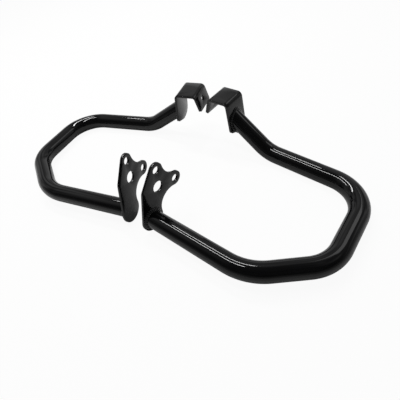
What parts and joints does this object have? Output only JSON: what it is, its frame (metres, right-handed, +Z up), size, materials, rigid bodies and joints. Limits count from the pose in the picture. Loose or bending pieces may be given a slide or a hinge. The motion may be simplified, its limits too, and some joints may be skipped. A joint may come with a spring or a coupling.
{
  "type": "motorcycle crash bars",
  "caption": "Left and right motorcycle crash bars: bent steel tubes, each with a drilled upright engine plate at one end and a folded channel bracket at the other.",
  "frame": {"origin": "on the surface that the bars lie on, midway between them and midway along their depth", "axes": "+Z up, +X from the left bar to the right bar across the pair, +Y from the engine plates back to the channel brackets"},
  "size_m": [0.583, 0.2814, 0.1026],
  "materials": {
    "tube_paint": "gloss black enamel",
    "plate_paint": "satin-gloss black enamel on laser-cut plate",
    "bracket_paint": "satin-gloss black enamel on folded sheet",
    "weld_paint": "gloss black enamel over a rippled weld bead"
  },
  "bodies": {
    "root": {"right_tube": "tube_paint", "right_engine_plate": "plate_paint", "right_bracket": "bracket_paint", "right_plate_weld": "weld_paint", "right_bracket_weld": "weld_paint", "left_tube": "tube_paint", "left_engine_plate": "plate_paint", "left_bracket": "bracket_paint", "left_plate_weld": "weld_paint", "left_bracket_weld": "weld_paint"}
  },
  "joints": []
}
